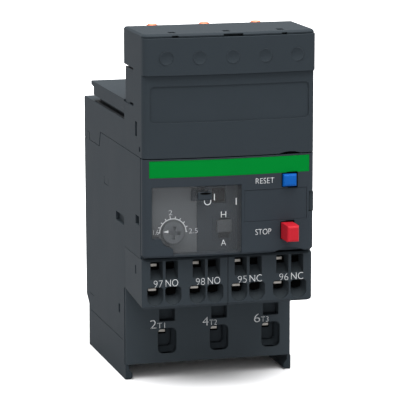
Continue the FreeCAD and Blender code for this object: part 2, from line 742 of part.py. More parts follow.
def pole_pin(pole):
    # A turned pin with a collar, on a flat palm that the input strap is welded to.
    palm = box(span(pole, 5.0), span(pin_y, 1.6), (strap_z - 4.7, strap_z + 2.0))
    section = [(0, strap_z + 1.5), (collar_radius, strap_z + 1.5), (collar_radius, shelf_z),
               (pin_radius, shelf_z), (pin_radius, pin_top - 0.45), (pin_radius - 0.45, pin_top),
               (0, pin_top)]
    wire = Part.makePolygon([Vector(pole + x, pin_y, z) for x, z in section + section[:1]])
    turned = Part.Face(wire).revolve(Vector(pole, pin_y, 0), Vector(0, 0, 1), 360)
    return fuse([turned, palm])


def input_strap(pole):
    # From the pin's palm over the cross wall to the head of the bimetal.
    face = pin_y + 0.8 + strap_thick / 2
    path = [(face, strap_z - 4.4), (face, strap_z), (bimetal_y + bimetal_wide / 2, strap_z)]
    strap = side_profile(strip(path, strap_thick), span(pole, 5.0))
    right = pole - bimetal_thick / 2 - 0.1
    head = box((right - strap_thick, right), span(bimetal_y, bimetal_wide), (strap_z - 4.6, strap_z))
    return fuse([strap, head])


def output_bar(pole):
    # From the foot of the heater down behind the block and forward into its chamber.
    back = bay_back + 0.9
    path = [(back, sleeve_z[0] + 1.7), (back, power_bar_z), (power_clamp_y - 0.2, power_bar_z)]
    return side_profile(strip(path, power_bar_thick), span(pole, power_bar_wide))


def power_clamp(pole):
    # A cage spring: a loop of steel band above the bar, with a leg and window in front.
    front = power_clamp_y
    back = bay_back - 8.0
    bar = power_bar_z + power_bar_thick / 2
    path = [(front, floor_z + 1.95), (front, power_top - 4.8), (front + 1.5, power_top - 3.0),
            (front + 5.6, power_top - 3.0), (back - 0.7, power_top - 6.2), (back, bar + 0.6),
            (back - 1.4, bar + 0.35), (front + 2.3, bar + 0.35)]
    band = side_profile(strip(path, power_band), span(pole, chamber_wide - 0.8))
    window = box(span(pole, power_bar_wide + 0.9), span(front, 2.0), (floor_z + 3.05, bar + 0.8))
    return band.cut(window)


def power_block():
    reach = half - power_side - power_fit
    top = power_top - 1.3
    floor = floor_z + 1.4
    flange = box((flange_side - half, half - flange_side), span(front_deep + flange_thick / 2, flange_thick),
                 (floor_z, power_top))
    body = fuse([box((-reach, reach), (front_deep, bay_back), (floor_z, power_top)), flange])
    behind = (front_deep + power_wall, bay_back + 1)
    entry = (front_deep - 1, front_deep + power_wall + 2)
    cuts = [box((wall - reach, poles[0] - chamber_wide / 2 - wall), behind, (floor, top))]
    for pole in poles:
        cuts.append(box(span(pole, chamber_wide), behind, (floor, top)))
        hole_z = span(power_hole_z, power_hole[1])
        cuts.append(soft_box(span(pole, power_hole[0]), entry, hole_z, power_corner))
        cuts.append(box(span(pole, power_slot[0]), entry, span(power_slot_z, power_slot[1])))
    return body.cut(fuse(cuts)).removeSplitter()


def wire_entry(x, y):
    # A hole that is round below and square above.
    radius = wire_wide / 2
    low = rod(radius, (x, y[0], wire_z[0] + radius), (x, y[1], wire_z[0] + radius))
    side = [(radius, wire_z[0] + radius), (radius, wire_z[1] - 0.6), (radius - 0.6, wire_z[1])]
    outline = [(x + a, z) for a, z in side] + [(x - a, z) for a, z in side[::-1]]
    return fuse([low, front_profile(outline, y)])


def control_block(x, cells):
    # A front block with two modules, open at the back, its lower outer edge rounded.
    front, rear = control_y
    back = front + control_wall
    low, top = control_z
    outline = [(front, low + 0.6), (front, top - 0.5), (front + 0.5, top), (rear, top), (rear, low + 1.4),
               (front + 0.6, low)]
    outer = max(x, key=abs)
    body = side_profile(outline, x)
    corner = box(span(outer, 0.1), (front + 1, rear - 1), (low - 1, low + 1.5))
    long_edges = [edge for edge in body.Edges if edge.BoundBox.YLength > 5 and edge.BoundBox.XLength < 0.01]
    under = [edge for edge in long_edges if edge.distToShape(corner)[0] < 0.01]
    body = body.makeFillet(1.1, under)
    cavity = [(back, top - 1.1), (rear + 1, top - 1.1), (rear + 1, low + 2.6), (back, low + 1.5)]
    cuts = [box(span(outer, 1.4), span(front + 6.3, 1.1), (top - 4.8, top - 2.5))]
    for middle in cells:
        cuts.append(side_profile(cavity, span(middle, cell_wide)))
        for side in (-0.5, 0.5):
            cuts.append(wire_entry(middle + side * wire_gap, (0, back + 1)))
            cuts.append(box(span(middle + side * driver_gap, driver_wide), (0, back + 1), driver_z))
    return body.cut(fuse(cuts)).removeSplitter()


def busbar(middle, riser, rearward):
    # A fork with a tongue for each clamp, a cross strap and a riser with its contact.
    z = span(tongue_z, tongue_thick)
    rear = control_y[1]
    link = (min(middle, riser) - riser_wide / 2, max(middle, riser) + riser_wide / 2)
    tongue = (control_y[0] + control_wall + 0.8, rear - 1.6)
    shapes = [box(span(middle + side * wire_gap, clamp_window - 0.3), tongue, z) for side in (-0.5, 0.5)]
    shapes.append(box(span(middle, cell_wide - 0.4), (rear - 2.8, rear - 0.5), z))
    shapes.append(box(link, (rear - 1.1, riser_y[0] - 3.4), z))
    shapes.append(box(span(riser, riser_wide), (riser_y[0] - 4, riser_y[1]), z))
    shapes.append(box(span(riser, riser_wide), riser_y, (z[0], contact_z + 2.0)))
    near = riser_y[1] - 0.2 if rearward else riser_y[0] - contact_proud
    ends = (near, near + contact_proud + 0.2)
    shapes.append(rod(contact_radius, (riser, ends[0], contact_z), (riser, ends[1], contact_z)))
    return fuse(shapes)


def control_clamps(cells):
    # Four cage springs, one behind each pair of holes.
    front = clamp_y
    back = control_y[1] - 3.3
    top = control_z[1] - 1.5
    path = [(front, control_z[0] + 2.05), (front, top - 1.5), (front + 1.05, top), (front + 3.95, top),
            (back - 0.4, top - 2.1), (back, tongue_z + 1.25), (back - 0.9, tongue_z + 0.7),
            (front + 1.45, tongue_z + 0.7)]
    clamps = []
    for middle in cells:
        for side in (-0.5, 0.5):
            x = middle + side * wire_gap
            band = side_profile(strip(path, clamp_band), span(x, clamp_wide))
            window = box(span(x, clamp_window), span(front, 1.2), (control_z[0] + 2.8, tongue_z + 1.25))
            clamps.append(band.cut(window))
    return Part.makeCompound(clamps)


def bridge(ends, front, side):
    # A cross bar with a silver button at each end.
    shapes = [box(grown(ends, 1.4), (front, front + bridge_thick), span(contact_z, bridge_high))]
    near = front - contact_proud if side < 0 else front + bridge_thick - 0.1
    far = near + contact_proud + 0.1
    for x in ends:
        shapes.append(rod(contact_radius - 0.1, (x, near, contact_z), (x, far, contact_z)))
    return fuse(shapes)


def no_bridge():
    return bridge(risers[:2], no_front, 1)


def nc_bridge():
    return bridge(risers[2:], nc_front, -1)


def contact_carrier():
    # The plastic slide that carries both bridges and is pushed back by the trip lever.
    bar = box((-carrier_reach, carrier_reach), carrier_y, carrier_z)
    bar = bar.cut(box(span(0, 14), (carrier_y[0] + 1.5, carrier_y[1] + 1), grown(carrier_z, 1)))
    arm = (carrier_reach - arm_wide, carrier_reach)
    left = (-arm[1], -arm[0])
    z = (contact_z - 2.7, carrier_z[1])
    no_arm = box(left, (no_front - 1.2, carrier_y[0] + 0.8), z)
    seat = (no_front, no_front + bridge_thick)
    no_arm = no_arm.cut(box(grown(left, 1), seat, span(contact_z, bridge_high)))
    nc_arm = box(arm, (nc_front - 0.95, nc_front + 4.2), z)
    slot = box(grown(arm, 1), (nc_front - 0.05, nc_front + 3.0), span(contact_z, bridge_high + 0.4))
    relief = box(grown(arm, 1), (nc_front + 2.9, nc_front + 5), (carrier_z[0] + 0.1, carrier_z[1] + 1))
    return fuse([bar, no_arm, nc_arm.cut(fuse([slot, relief]))])


def trip_lever():
    # A rocker on a cross shaft: its lower nose pushes the carrier, its upper arm is reset.
    nose = carrier_y[0] - 0.18
    low = carrier_z[0] + 0.5
    top = reset_arm_z[1]
    boss = lever_radius + 0.6
    arm = side_profile([(lever_y - boss, lever_z), (lever_y - 0.6, low), (nose - 0.4, low), (nose, low + 0.5),
                        (nose, low + 1.6), (lever_y + boss, lever_z), (lever_y + 0.7, top),
                        (lever_y - 0.7, top)], (-lever_half, lever_half))
    shaft = rod(lever_radius, (-cheek_x[1], lever_y, lever_z), (cheek_x[1], lever_y, lever_z))
    reset_arm = box((-lever_half, reset_at[0] + 1.05), span(lever_y, 1.2), reset_arm_z)
    return fuse([arm, shaft, reset_arm])


def mechanism_frame():
    # Two cheeks that hold the trip lever's shaft, standing off the cross wall.
    low = carrier_z[1] + 1.0
    back = cross_y[0]
    outline = [(lever_y - 2.0, lever_z - 3.0), (lever_y - 2.0, lever_z + 1.2), (lever_y - 1.3, lever_z + 1.9),
               (lever_y + 1.3, lever_z + 1.9), (lever_y + 7.6, lever_z - 2.8), (back, lever_z - 2.8),
               (back, low), (lever_y + 2.1, low)]
    reach = cheek_x[1] + 1
    bore = rod(lever_radius + running, (-reach, lever_y, lever_z), (reach, lever_y, lever_z))
    cheeks = on_both_sides([side_profile(outline, cheek_x)])
    tie = box((-cheek_x[1], cheek_x[1]), (back - 1.2, back), (low, lever_z - 2.8))
    return fuse(cheeks + [tie]).cut(bore)


def trip_flag():
    # Slides sideways behind its window, moved by an arm from the mechanism.
    plate = box((flag_x[0] - 0.5, flag_x[1] + flag_travel + 0.5), flag_y, grown(flag_z, 0.5))
    arm_x = (flag_x[1] + 2.8, flag_x[1] + 3.8)
    arm = box(arm_x, (flag_y[1] - 0.2, lever_y - 2.7), span(sum(flag_z) / 2 + 0.1, 1.2))
    return fuse([plate, arm])


def selector_knob():
    low, top = selector_z
    knob = box(span(selector_x, selector_wide), (0.9, 2.45), selector_z)
    ridge = box(span(selector_x, selector_wide + 1), (0, 1.25), span((low + top) / 2, 0.5))
    stem = box(span(selector_x, selector_wide - 0.8), (2.3, slider_y[0] + 0.1), grown(selector_z, -0.3))
    plate = box(span(selector_x, selector_wide + 1.2), slider_y, (low - 0.5, top - 0.7))
    arm = box(span(selector_x, 1.2), (slider_y[1] - 0.2, lever_y - 4.9), (low + 1, low + 2.2))
    return fuse([knob.cut(ridge), stem, plate, arm])


def test_slider():
    x = (test_x[0] + window_fit, test_x[1] - window_fit - test_travel)
    knob = box(x, (1.6, slider_y[0] + 0.1), grown(test_z, -0.1))
    groove = box(span(test_x[0] + 1.2, 0.7), (1, 2.4), grown(test_z, 1))
    plate = box((test_x[0] - 1.0, test_x[1] + 0.2 - test_travel), slider_y, grown(test_z, 0.7))
    return fuse([knob.cut(groove), plate])


def button(at, size, front, stem_end):
    # A cap with softened edges, a flange behind the panel and a stem to the mechanism.
    cap = box(span(at[0], size[0]), (front, panel_back + 0.3), span(at[1], size[1]))
    rim = [edge for edge in cap.Edges if edge.BoundBox.YMax < front + 0.01]
    cap = cap.makeFillet(cap_round, rim)
    flange = (panel_back + 0.3, panel_back + 1.3)
    flange = box(span(at[0], size[0] + 2 * cap_gap), flange, span(at[1], size[1] + 2 * cap_gap))
    stem = box(span(at[0], button_stem), (panel_back + 1.0, stem_end), span(at[1], button_stem))
    return fuse([cap, flange, stem])


def reset_button():
    end = lever_y - 4.3
    long = button(reset_at, reset_size, front_at(reset_at[0]) - reset_proud, end)
    toe = box(span(reset_at[0], button_stem), (end - 1.6, end), (reset_at[1] - 1.0, lever_z + 4.2))
    return fuse([long, toe])


def stop_button():
    return button(stop_at, stop_size, -stop_reach, nc_front - 0.05)


def write(name, shape):
    placed = shape.copy()
    placed.translate(Vector(0, -(body_depth - stop_reach) / 2, 0))
    placed.exportStep("parts/" + name + ".step")
    print(name, len(placed.Solids), round(placed.Volume, 1), placed.isValid())


pieces = {
    "base_housing": base_housing, "top_housing": top_housing, "rear_insert": rear_insert,
    "shelf_plate": shelf_plate, "cover_strip": cover_strip, "front_panel": front_panel,
    "name_stripe": name_stripe, "marker_plate": marker_plate, "scale_plate": scale_plate,
    "window_cover": window_cover, "setting_dial": setting_dial, "dial_cam": dial_cam,
    "adjust_shaft": adjust_shaft, "compensation_lever": compensation_lever,
    "main_slide": main_slide, "differential_slide": differential_slide,
    "differential_lever": differential_lever, "power_block": power_block,
    "no_bridge": no_bridge, "nc_bridge": nc_bridge, "contact_carrier": contact_carrier,
    "trip_lever": trip_lever, "mechanism_frame": mechanism_frame, "trip_flag": trip_flag,
    "selector_knob": selector_knob, "test_slider": test_slider,
    "reset_button": reset_button, "stop_button": stop_button,
}
pole_pieces = {
    "pole_pin": pole_pin, "input_strap": input_strap, "bimetal": bimetal, "heater": heater,
    "heater_sleeve": heater_sleeve, "output_bar": output_bar, "power_clamp": power_clamp,
}

for name, make in pieces.items():
    write(name, make())
for name, make in pole_pieces.items():
    for number, pole in enumerate(poles, 1):
        write(name + "_" + str(number), make(pole))
write("control_block_no", control_block((-half, split_x - seam / 2), modules[:2]))
write("control_block_nc", control_block((split_x + seam / 2, half - 0.1), modules[2:]))
write("control_clamps_no", control_clamps(modules[:2]))
write("control_clamps_nc", control_clamps(modules[2:]))
for index, number in enumerate(("97", "98", "95", "96")):
    write("busbar_" + number, busbar(modules[index], risers[index], index > 1))
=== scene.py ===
import math
import bmesh
import bpy
from mathutils import Matrix, Vector


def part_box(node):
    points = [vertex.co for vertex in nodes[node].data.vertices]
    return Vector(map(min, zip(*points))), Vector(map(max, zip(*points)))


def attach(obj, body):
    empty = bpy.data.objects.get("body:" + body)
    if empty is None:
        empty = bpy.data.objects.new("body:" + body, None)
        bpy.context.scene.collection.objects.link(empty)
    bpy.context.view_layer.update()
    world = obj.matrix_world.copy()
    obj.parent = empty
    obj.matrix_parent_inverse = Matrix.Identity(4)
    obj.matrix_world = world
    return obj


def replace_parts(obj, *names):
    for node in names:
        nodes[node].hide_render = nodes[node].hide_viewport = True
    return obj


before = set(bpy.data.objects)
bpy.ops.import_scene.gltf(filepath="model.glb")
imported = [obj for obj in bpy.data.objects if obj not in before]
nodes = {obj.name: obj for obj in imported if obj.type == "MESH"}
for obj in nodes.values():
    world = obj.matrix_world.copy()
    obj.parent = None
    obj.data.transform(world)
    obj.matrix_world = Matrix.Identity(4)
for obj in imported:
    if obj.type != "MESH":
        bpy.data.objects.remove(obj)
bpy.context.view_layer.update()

mm = 0.001
weld = 1e-7  # points nearer than this, in metres, are one
print("frame loaded:", len(nodes), "nodes")


# places in millimetres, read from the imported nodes

def corners(node):
    low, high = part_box(node)
    return low / mm, high / mm


def middle(node):
    low, high = corners(node)
    return (low + high) / 2


face = {"halfWidth": 22.5, "bow": 1.3, "edgeY": -29.45}


def frontAt(x):
    # the bowed front of the relay: an arc that is furthest forward in the middle
    radius = (face["halfWidth"] ** 2 + face["bow"] ** 2) / (2 * face["bow"])
    return face["edgeY"] + radius - face["bow"] - math.sqrt(radius ** 2 - x ** 2)


def flatAt(depth):
    return lambda x: depth


# shader nodes that several finishes share

def newMaterial(name):
    material = bpy.data.materials.new(name)
    material.use_nodes = True
    tree = material.node_tree
    return material, tree, tree.nodes["Principled BSDF"]


def addNode(tree, kind, **values):
    node = tree.nodes.new(kind)
    for key, value in values.items():
        setattr(node, key, value)
    return node


def objectNoise(tree, scale, detail=2.0, stretch=None):
    place = addNode(tree, "ShaderNodeTexCoord")
    noise = addNode(tree, "ShaderNodeTexNoise")
    noise.inputs["Scale"].default_value = scale
    noise.inputs["Detail"].default_value = detail
    if stretch:
        mapping = addNode(tree, "ShaderNodeMapping")
        mapping.inputs["Scale"].default_value = stretch
        tree.links.new(place.outputs["Object"], mapping.inputs["Vector"])
        tree.links.new(mapping.outputs["Vector"], noise.inputs["Vector"])
    else:
        tree.links.new(place.outputs["Object"], noise.inputs["Vector"])
    return noise.outputs["Fac"]


def spread(tree, value, low, high, start=0.0, end=1.0):
    # low where the value is at its start, high where it is at its end
    ranger = addNode(tree, "ShaderNodeMapRange")
    ranger.inputs["From Min"].default_value = start
    ranger.inputs["From Max"].default_value = end
    ranger.inputs["To Min"].default_value = low
    ranger.inputs["To Max"].default_value = high
    tree.links.new(value, ranger.inputs["Value"])
    return ranger.outputs["Result"]


def blendColour(tree, factor, one, other):
    # on the mix node, inputs 6 and 7 and output 2 are the ones for colour
    mix = addNode(tree, "ShaderNodeMix", data_type="RGBA")
    mix.inputs[6].default_value = (*one, 1)
    mix.inputs[7].default_value = (*other, 1)
    tree.links.new(factor, mix.inputs[0])
    return mix.outputs[2]


def tint(tree, shader, factor, colour, low, high):
    # a colour that drifts between a darker and a paler shade of itself
    base = Vector(colour)
    tree.links.new(blendColour(tree, factor, base * low, base * high), shader.inputs["Base Color"])


def addBump(tree, shader, height, strength, deep, normal=None):
    bump = addNode(tree, "ShaderNodeBump")
    bump.inputs["Strength"].default_value = strength
    bump.inputs["Distance"].default_value = deep * mm
    tree.links.new(height, bump.inputs["Height"])
    if normal:
        tree.links.new(normal, bump.inputs["Normal"])
    tree.links.new(bump.outputs["Normal"], shader.inputs["Normal"])


# studio: world, floor, lamps and camera

studio = {
    "worldLight": 0.25,
    "worldSeen": (0.8, 0.8, 0.8),
    "floorSize": 6.0,
    "floorColour": (0.94, 0.94, 0.95),
    "floorBounce": (0.43, 0.43, 0.44),
    "floorRough": 0.9,
}

lamps = {
    "key": {"from": (-0.03, -0.12, 1.0), "spread": 80, "strength": 6.9},
    "fill": {"from": (-0.05, -1.0, 0.10), "spread": 70, "strength": 1.1},
}

view = {
    "place": (-179.04, -654.50, 168.70),
    "yaw": 15.333,
    "down": 10.342,
    "roll": 0.026,
    "lens": 235.47,
    "sensor": 36,
    "clip": (0.01, 20),
}


def makeWorld(scene):
    # a weak even light, and a paler backdrop for the camera, for gloss and through clear plastic
    world = bpy.data.worlds.new("studioWorld")
    scene.world = world
    world.use_nodes = True
    tree = world.node_tree
    light = tree.nodes["Background"]
    light.inputs["Color"].default_value = (1, 1, 1, 1)
    light.inputs["Strength"].default_value = studio["worldLight"]
    backdrop = addNode(tree, "ShaderNodeBackground")
    backdrop.inputs["Color"].default_value = (*studio["worldSeen"], 1)
    rays = addNode(tree, "ShaderNodeLightPath")
    seen = rays.outputs["Is Camera Ray"]
    for ray in ("Is Glossy Ray", "Is Transmission Ray"):
        either = addNode(tree, "ShaderNodeMath", operation="MAXIMUM")
        tree.links.new(seen, either.inputs[0])
        tree.links.new(rays.outputs[ray], either.inputs[1])
        seen = either.outputs[0]
    mix = addNode(tree, "ShaderNodeMixShader")
    tree.links.new(seen, mix.inputs[0])
    tree.links.new(light.outputs[0], mix.inputs[1])
    tree.links.new(backdrop.outputs[0], mix.inputs[2])
    tree.links.new(mix.outputs[0], tree.nodes["World Output"].inputs["Surface"])


def makeFloor(scene):
    # pale to the camera, so that it keeps the shadow, and darker in the light that it throws back
    material, tree, shader = newMaterial("paleFloor")
    rays = addNode(tree, "ShaderNodeLightPath")
    seen = rays.outputs["Is Camera Ray"]
    colour = blendColour(tree, seen, studio["floorBounce"], studio["floorColour"])
    tree.links.new(colour, shader.inputs["Base Color"])
    shader.inputs["Roughness"].default_value = studio["floorRough"]
    mesh = bpy.data.meshes.new("floor")
    bm = bmesh.new()
    bmesh.ops.create_grid(bm, x_segments=1, y_segments=1, size=studio["floorSize"] / 2)
    bm.to_mesh(mesh)
    bm.free()
    mesh.materials.append(material)
    floor = bpy.data.objects.new("floor", mesh)
    scene.collection.objects.link(floor)


def makeLamps(scene):
    for name, lamp in lamps.items():
        light = bpy.data.lights.new(name, "SUN")
        light.angle = math.radians(lamp["spread"])
        light.energy = lamp["strength"]
        holder = bpy.data.objects.new(name, light)
        holder.location = lamp["from"]
        holder.rotation_euler = (-Vector(lamp["from"])).to_track_quat("-Z", "Y").to_euler()
        scene.collection.objects.link(holder)


def makeCamera(scene):
    camera = bpy.data.cameras.new("camera")
    camera.lens = view["lens"]
    camera.sensor_width = view["sensor"]
    camera.clip_start, camera.clip_end = view["clip"]
    holder = bpy.data.objects.new("camera", camera)
    holder.location = Vector(view["place"]) * mm
    holder.rotation_euler = (
        math.radians(90 - view["down"]),
        math.radians(view["roll"]),
        -math.radians(view["yaw"]),
    )
    scene.collection.objects.link(holder)
    scene.camera = holder


def makeStudio():
    scene = bpy.context.scene
    scene.view_settings.view_transform = "Standard"
    makeWorld(scene)
    makeFloor(scene)
    makeLamps(scene)
    makeCamera(scene)


# moulded plastics

plastics = {
    "housingPlastic": {"colour": (0.024, 0.031, 0.037), "rough": 0.62, "grain": 0.25, "gloss": 0.07},
    "panelPlastic": {"colour": (0.024, 0.031, 0.038), "rough": 0.60, "grain": 0.25, "gloss": 0.08},
    "powerDuct": {"colour": (0.028, 0.035, 0.041), "rough": 0.65, "grain": 0.20, "gloss": 0.06},
    "ductPlastic": {"colour": (0.029, 0.036, 0.041), "rough": 0.65, "grain": 0.20, "gloss": 0.06},
    "blockPlastic": {"colour": (0.025, 0.032, 0.038), "rough": 0.62, "grain": 0.25, "gloss": 0.08},
    # painted light: the power block is made paler than the control blocks to make up for the shade that
    # they cast on it
    "powerPlasticPaintedLight": {"colour": (0.035, 0.044, 0.051), "rough": 0.62, "grain": 0.25, "gloss": 0.08},
    "stripeGreen": {"colour": (0.0, 0.170, 0.022), "rough": 0.55, "grain": 0.10, "gloss": 0.02},
    "scaleGrey": {"colour": (0.078, 0.085, 0.091), "rough": 0.50, "grain": 0.10, "gloss": 0.12},
    "dialGrey": {"colour": (0.074, 0.081, 0.087), "rough": 0.50, "grain": 0.15, "gloss": 0.12},
    "slideGrey": {"colour": (0.020, 0.026, 0.032), "rough": 0.50, "grain": 0.15, "gloss": 0.12},
    "wellPlastic": {"colour": (0.024, 0.031, 0.038), "rough": 0.60, "grain": 0.25, "gloss": 0.08},
    # painted shade: a dark plastic for the selector's slot and the channel under the shelf
    "paintedSlotShade": {"colour": (0.014, 0.016, 0.018), "rough": 0.60, "grain": 0.10, "gloss": 0.05},
    "knobGrey": {"colour": (0.046, 0.051, 0.055), "rough": 0.50, "grain": 0.15, "gloss": 0.12},
    "resetBlue": {"colour": (0.001, 0.080, 0.335), "rough": 0.42, "grain": 0.10, "gloss": 0.10},
    "stopRed": {"colour": (0.420, 0.012, 0.022), "rough": 0.42, "grain": 0.10, "gloss": 0.10},
    "flagBrown": {"colour": (0.006, 0.004, 0.003), "rough": 0.60, "grain": 0.15, "gloss": 0.12},
    "mechanismWhite": {"colour": (0.620, 0.600, 0.540), "rough": 0.45, "grain": 0.15, "gloss": 0.12},
}

moulding = {
    "driftScale": 90,
    "driftDetail": 3,
    "driftShades": (0.92, 1.08),
    "roughDrift": 0.05,
    "grainScale": 5200,
    "grainDeep": 0.03,
    "edgeRadius": 0.16,
    "edgeTurn": (0.99, 0.80),
    "edgeWearAndHighlight": 0.22,
    "edgeShade": 1.6,
    "edgeLift": 0.02,
}


def mouldedPlastic(name, look):
    # fine spark-eroded grain, a broad drift in tone, and edges that are softened and a little paler,
    # partly as wear and partly as a painted highlight
    material, tree, shader = newMaterial(name)
    base = Vector(look["colour"])
    drift = objectNoise(tree, moulding["driftScale"], moulding["driftDetail"])
    dark, pale = moulding["driftShades"]
    colour = blendColour(tree, drift, base * dark, base * pale)

    soft = addNode(tree, "ShaderNodeBevel", samples=4)
    soft.inputs["Radius"].default_value = moulding["edgeRadius"] * mm
    geometry = addNode(tree, "ShaderNodeNewGeometry")
    turn = addNode(tree, "ShaderNodeVectorMath", operation="DOT_PRODUCT")
    tree.links.new(soft.outputs["Normal"], turn.inputs[0])
    tree.links.new(geometry.outputs["True Normal"], turn.inputs[1])
    # paler edges: partly wear, partly a painted highlight where the edges catch the light
    wornAndHighlight = spread(tree, turn.outputs["Value"], 0.0, moulding["edgeWearAndHighlight"], *moulding["edgeTurn"])
    edge = base * moulding["edgeShade"] + Vector([moulding["edgeLift"]] * 3)
    edged = blendColour(tree, wornAndHighlight, base, edge)
    tree.links.new(colour, edged.node.inputs[6])
    tree.links.new(edged, shader.inputs["Base Color"])

    low, high = look["rough"] - moulding["roughDrift"], look["rough"] + moulding["roughDrift"]
    tree.links.new(spread(tree, drift, low, high), shader.inputs["Roughness"])
    grain = objectNoise(tree, moulding["grainScale"])
    addBump(tree, shader, grain, look["grain"], moulding["grainDeep"], soft.outputs["Normal"])
    shader.inputs["Specular IOR Level"].default_value = look["gloss"]
    return material


# metals

metals = {
    "copper": {"colour": (0.70, 0.21, 0.12), "rough": 0.55, "stretch": (1, 1, 0.05)},
    "springSteel": {"colour": (0.56, 0.54, 0.50), "rough": 0.34, "stretch": (0.05, 1, 1)},
    "stripMetal": {"colour": (0.34, 0.325, 0.30), "rough": 0.55, "stretch": (0.05, 1, 1)},
    "bimetalSteel": {"colour": (0.46, 0.44, 0.40), "rough": 0.38, "stretch": (1, 1, 0.05)},
    "heaterWire": {"colour": (0.36, 0.33, 0.31), "rough": 0.45, "stretch": (1, 1, 1)},
}

rolling = {
    "tarnishScale": 300,
    "tarnishDetail": 4,
    "tarnishShades": (0.85, 1.05),
    "marksScale": 9000,
    "marksDetail": 2,
    "marksStrength": 0.2,
    "marksDeep": 0.01,
    "roughDrift": 0.08,
}


def rolledMetal(name, look):
    # sheet metal with fine rolling marks along one direction and a slight tarnish
    material, tree, shader = newMaterial(name)
    tarnish = objectNoise(tree, rolling["tarnishScale"], rolling["tarnishDetail"])
    tint(tree, shader, tarnish, look["colour"], *rolling["tarnishShades"])
    marks = objectNoise(tree, rolling["marksScale"], rolling["marksDetail"], look["stretch"])
    low, high = look["rough"] - rolling["roughDrift"], look["rough"] + rolling["roughDrift"]
    tree.links.new(spread(tree, marks, low, high), shader.inputs["Roughness"])
    addBump(tree, shader, marks, rolling["marksStrength"], rolling["marksDeep"])
    shader.inputs["Metallic"].default_value = 1.0
    return material


# clear cover, glass sleeves, printing and gaps

clear = {
    "colour": (0.17, 0.18, 0.19),
    "opacity": 0.08,
    "rough": (0.05, 0.13),
    "hazeScale": 400,
    "hazeDetail": 3,
}


def clearPlastic():
    material, tree, shader = newMaterial("clearCover")
    haze = objectNoise(tree, clear["hazeScale"], clear["hazeDetail"])
    tree.links.new(spread(tree, haze, *clear["rough"]), shader.inputs["Roughness"])
    shader.inputs["Base Color"].default_value = (*clear["colour"], 1)
    shader.inputs["Alpha"].default_value = clear["opacity"]
    return material


sleeve = {
    "colour": (0.74, 0.72, 0.65),
    "shades": (0.8, 1.0),
    "rough": 0.85,
    "weaveScale": 1400,
    "weaveStrength": 1.0,
    "weaveDeep": 0.05,
}


def wovenGlass():
    # two crossed waves, one for each direction of the braid
    material, tree, shader = newMaterial("wovenGlass")
    place = addNode(tree, "ShaderNodeTexCoord")
    both = addNode(tree, "ShaderNodeMath", operation="MULTIPLY")
    for index, direction in enumerate(("X", "Z")):
        wave = addNode(tree, "ShaderNodeTexWave", bands_direction=direction)
        wave.inputs["Scale"].default_value = sleeve["weaveScale"]
        tree.links.new(place.outputs["Object"], wave.inputs["Vector"])
        tree.links.new(wave.outputs["Fac"], both.inputs[index])
    tint(tree, shader, both.outputs[0], sleeve["colour"], *sleeve["shades"])
    addBump(tree, shader, both.outputs[0], sleeve["weaveStrength"], sleeve["weaveDeep"])
    shader.inputs["Roughness"].default_value = sleeve["rough"]
    return material


printing = {
    "colour": (0.60, 0.62, 0.63),
    "shades": (0.9, 1.0),
    "rough": 0.55,
    "inkScale": 900,
    "inkDetail": 3,
}


def padPrint():
    material, tree, shader = newMaterial("padPrint")
    ink = objectNoise(tree, printing["inkScale"], printing["inkDetail"])
    tint(tree, shader, ink, printing["colour"], *printing["shades"])
    shader.inputs["Roughness"].default_value = printing["rough"]
    return material


shadowGap = {"colour": (0.002, 0.002, 0.002), "shades": (0.5, 1.5), "rough": 0.9, "mottleScale": 300}


def paintedGapShade():
    # painted shade: a dull black for the bottoms of gaps and openings, where the shade falls
    material, tree, shader = newMaterial("paintedGapShade")
    mottle = objectNoise(tree, shadowGap["mottleScale"])
    tint(tree, shader, mottle, shadowGap["colour"], *shadowGap["shades"])
    shader.inputs["Roughness"].default_value = shadowGap["rough"]
    shader.inputs["Specular IOR Level"].default_value = 0.0
    return material


def makeMaterials():
    made = {}
    for name, look in plastics.items():
        made[name] = mouldedPlastic(name, look)
    for name, look in metals.items():
        made[name] = rolledMetal(name, look)
    made["clearCover"] = clearPlastic()
    made["wovenGlass"] = wovenGlass()
    made["padPrint"] = padPrint()
    made["paintedGapShade"] = paintedGapShade()
    return made


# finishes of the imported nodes, each by the starts of their names

finishes = {
    "housingPlastic": ("base_housing", "top_housing", "rear_insert", "shelf_plate", "cover_strip"),
    "panelPlastic": ("front_panel", "marker_plate"),
    "blockPlastic": ("control_block_no", "control_block_nc"),
    "powerPlasticPaintedLight": ("power_block",),
    "stripeGreen": ("name_stripe",),
    "scaleGrey": ("scale_plate",),
    "clearCover": ("window_cover",),
    "dialGrey": ("setting_dial",),
    "slideGrey": ("test_slider",),
    "knobGrey": ("selector_knob",),
    "resetBlue": ("reset_button",),
    "stopRed": ("stop_button",),
    "flagBrown": ("trip_flag",),
    "mechanismWhite": ("dial_cam", "adjust_shaft", "main_slide", "differential_slide",
                       "differential_lever", "contact_carrier", "trip_lever", "mechanism_frame"),
    "copper": ("pole_pin_", "input_strap_", "output_bar_", "busbar_", "no_bridge", "nc_bridge"),
    "bimetalSteel": ("bimetal_", "compensation_lever"),
    "heaterWire": ("heater_1", "heater_2", "heater_3"),
    "wovenGlass": ("heater_sleeve_",),
    "springSteel": ("power_clamp_", "control_clamps_"),
}


def finishNodes():
    for finish, names in finishes.items():
        for node, piece in nodes.items():
            if node.startswith(names):
                for slot in piece.material_slots:
                    slot.material = materials[finish]


# pieces

def addPiece(name, bm, finish, body, smooth=False):
    mesh = bpy.data.meshes.new(name)
    bm.to_mesh(mesh)
    bm.free()
    if smooth:
        mesh.shade_smooth()
    piece = bpy.data.objects.new(name, mesh)
    bpy.context.scene.collection.objects.link(piece)
    mesh.materials.append(materials[finish])
    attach(piece, body)
    return piece


def move(bm, x=0.0, y=0.0, z=0.0):
    bmesh.ops.translate(bm, verts=bm.verts, vec=Vector((x, y, z)) * mm)


def standUp(bm):
    # turns a shape drawn flat on the floor to face the front
    bmesh.ops.rotate(bm, verts=bm.verts, matrix=Matrix.Rotation(math.radians(90), 3, "X"))


